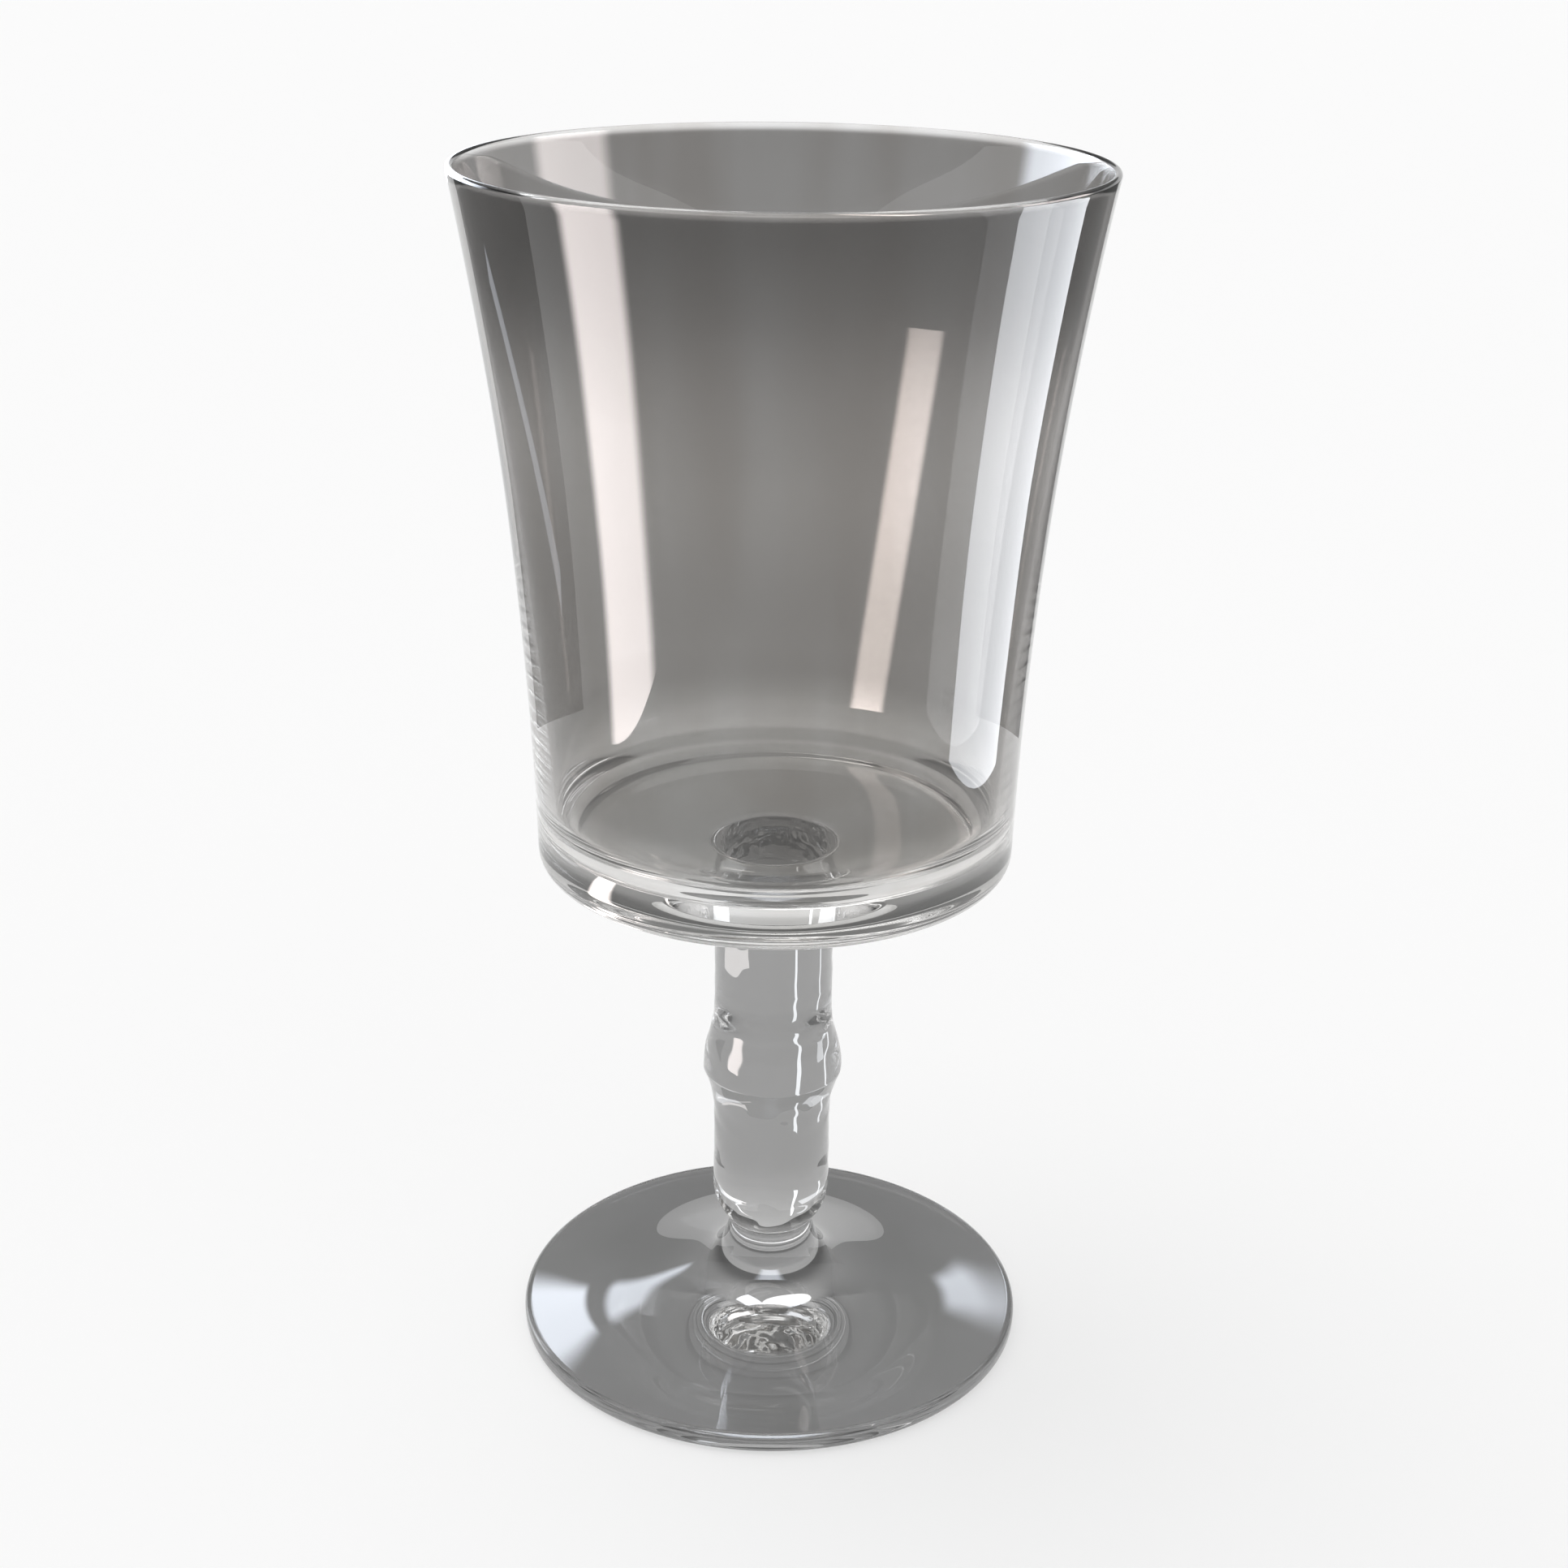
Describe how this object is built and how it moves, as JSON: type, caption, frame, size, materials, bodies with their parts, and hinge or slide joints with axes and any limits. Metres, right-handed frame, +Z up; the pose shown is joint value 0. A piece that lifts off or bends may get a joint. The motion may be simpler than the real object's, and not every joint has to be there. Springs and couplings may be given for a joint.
{
  "type": "wine goblet",
  "caption": "Clear glass goblet with a flared bucket bowl, a solid stem with a bamboo-like knuckle and a wide disc foot.",
  "frame": {"origin": "on the goblet's axis in the plane of the table that it stands on", "axes": "+Z up the axis from the foot to the lip; the goblet is turned about it, so X and Y are alike"},
  "size_m": [0.0852, 0.0852, 0.1701],
  "materials": {
    "bowl_glass": "clear, fire-polished",
    "stem_glass": "clear, fire-polished",
    "foot_glass": "clear, fire-polished"
  },
  "bodies": {
    "root": {"bowl": "bowl_glass", "stem": "stem_glass", "foot": "foot_glass"}
  },
  "joints": []
}
